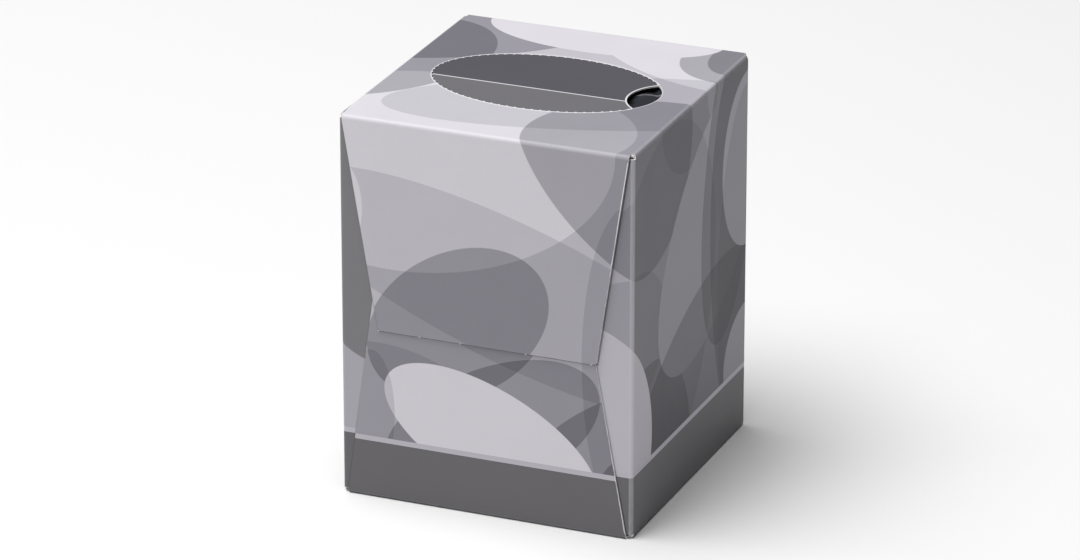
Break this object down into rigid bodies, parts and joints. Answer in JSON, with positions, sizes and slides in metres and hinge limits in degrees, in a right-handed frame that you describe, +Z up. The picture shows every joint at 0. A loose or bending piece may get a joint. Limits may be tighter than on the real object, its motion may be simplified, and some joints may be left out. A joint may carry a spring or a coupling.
{
  "type": "tissue box",
  "caption": "Upright carton of facial tissues with a perforated oval tear-out, thumb hole and film window in its top and glued, tapered flaps at both ends.",
  "frame": {"origin": "middle of the underside that the box stands on", "axes": "+Z up, -Y towards the closed end that the picture shows as the front, +X towards the thumb hole"},
  "size_m": [0.107, 0.11, 0.139],
  "materials": {
    "carton_board": "folding boxboard printed in overlapping greys and pale lilac, satin varnish, raw pale cut edges",
    "window_film": "thin clear slack film, glossy",
    "tissue_paper": "soft white creped tissue, matte"
  },
  "bodies": {
    "root": {"carton": "carton_board", "film_window": "window_film", "tissue_stack": "tissue_paper"}
  },
  "joints": []
}
